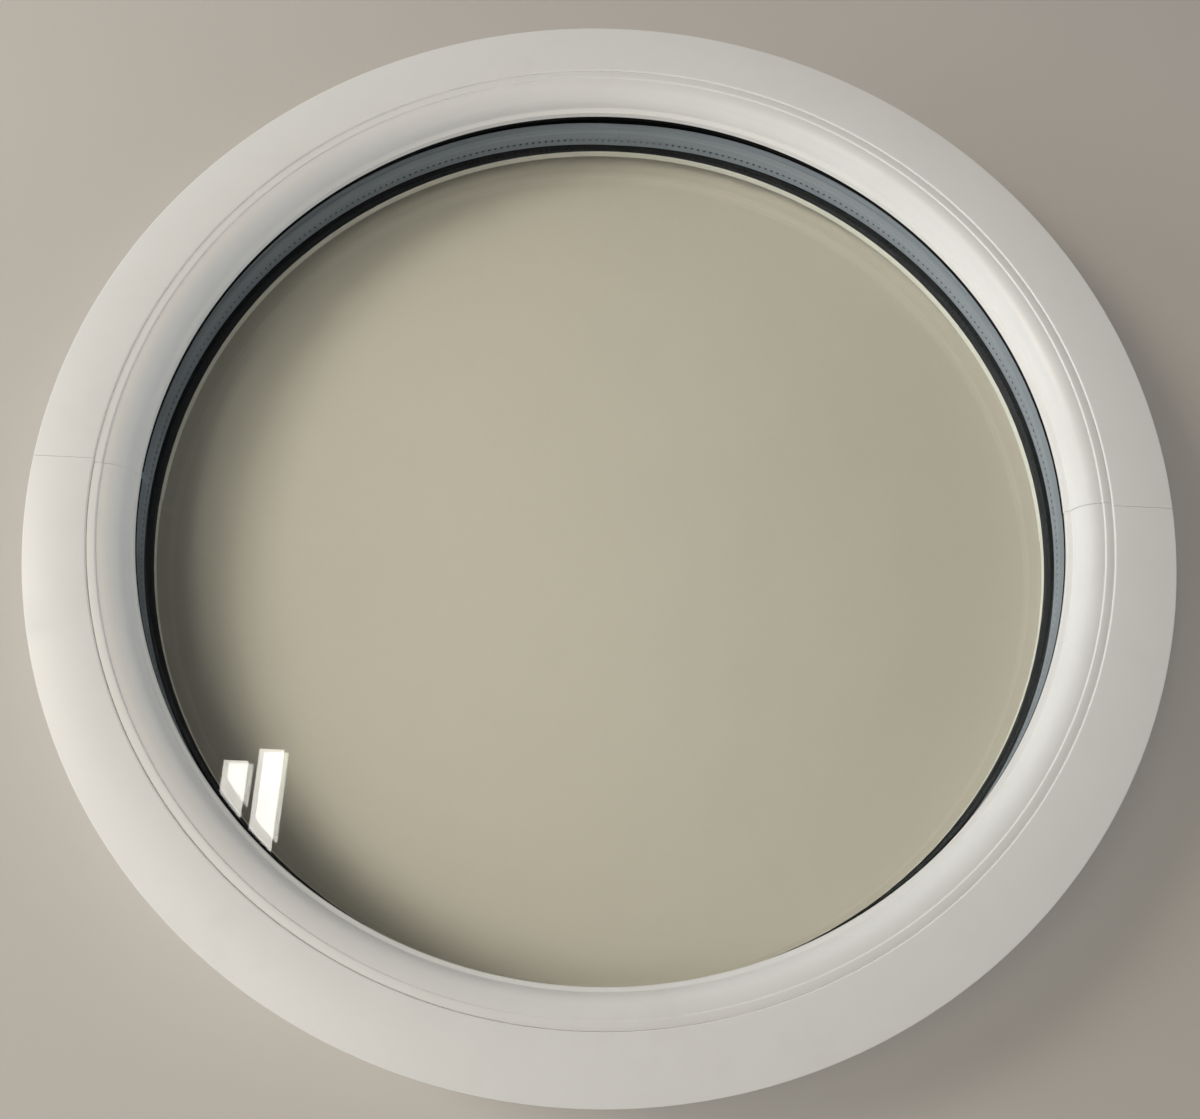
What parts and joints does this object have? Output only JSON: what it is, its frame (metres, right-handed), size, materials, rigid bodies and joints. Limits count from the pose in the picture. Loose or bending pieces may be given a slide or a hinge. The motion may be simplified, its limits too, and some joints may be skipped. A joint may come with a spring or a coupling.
{
  "type": "round window",
  "caption": "Fixed round window: bent hollow white profile with an ovolo glazing bead that holds a sealed double glazed unit.",
  "frame": {"origin": "centre of the flat back face, which the window lies on", "axes": "+Z along the ring's axis, out of the front with the bead; the two welds of the frame lie on the X axis, and the kink of the spacer bar is at +Y"},
  "size_m": [0.6, 0.6, 0.07],
  "materials": {
    "white_profile": "satin white extruded profile, bent",
    "gasket_rubber": "black, dull",
    "window_glass": "clear, slightly green",
    "spacer_metal": "grey, satin, perforated",
    "connector_plastic": "moulded",
    "desiccant_beads": "packed beads",
    "butyl": "black, tacky",
    "sealant": "black, smooth",
    "packer_plastic": "moulded"
  },
  "bodies": {
    "root": {"frame_upper_half": "white_profile", "frame_lower_half": "white_profile", "bead_upper_half": "white_profile", "bead_lower_half": "white_profile", "front_gasket_upper": "gasket_rubber", "front_gasket_lower": "gasket_rubber", "back_gasket": "gasket_rubber", "front_pane": "window_glass", "back_pane": "window_glass", "spacer_bar": "spacer_metal", "spacer_connector": "connector_plastic", "desiccant": "desiccant_beads", "front_butyl_seal": "butyl", "back_butyl_seal": "butyl", "edge_sealant": "sealant", "glazing_packer_1": "packer_plastic", "glazing_packer_2": "packer_plastic", "glazing_packer_3": "packer_plastic", "glazing_packer_4": "packer_plastic", "glazing_packer_5": "packer_plastic", "glazing_packer_6": "packer_plastic", "glazing_packer_7": "packer_plastic", "glazing_packer_8": "packer_plastic"}
  },
  "joints": []
}
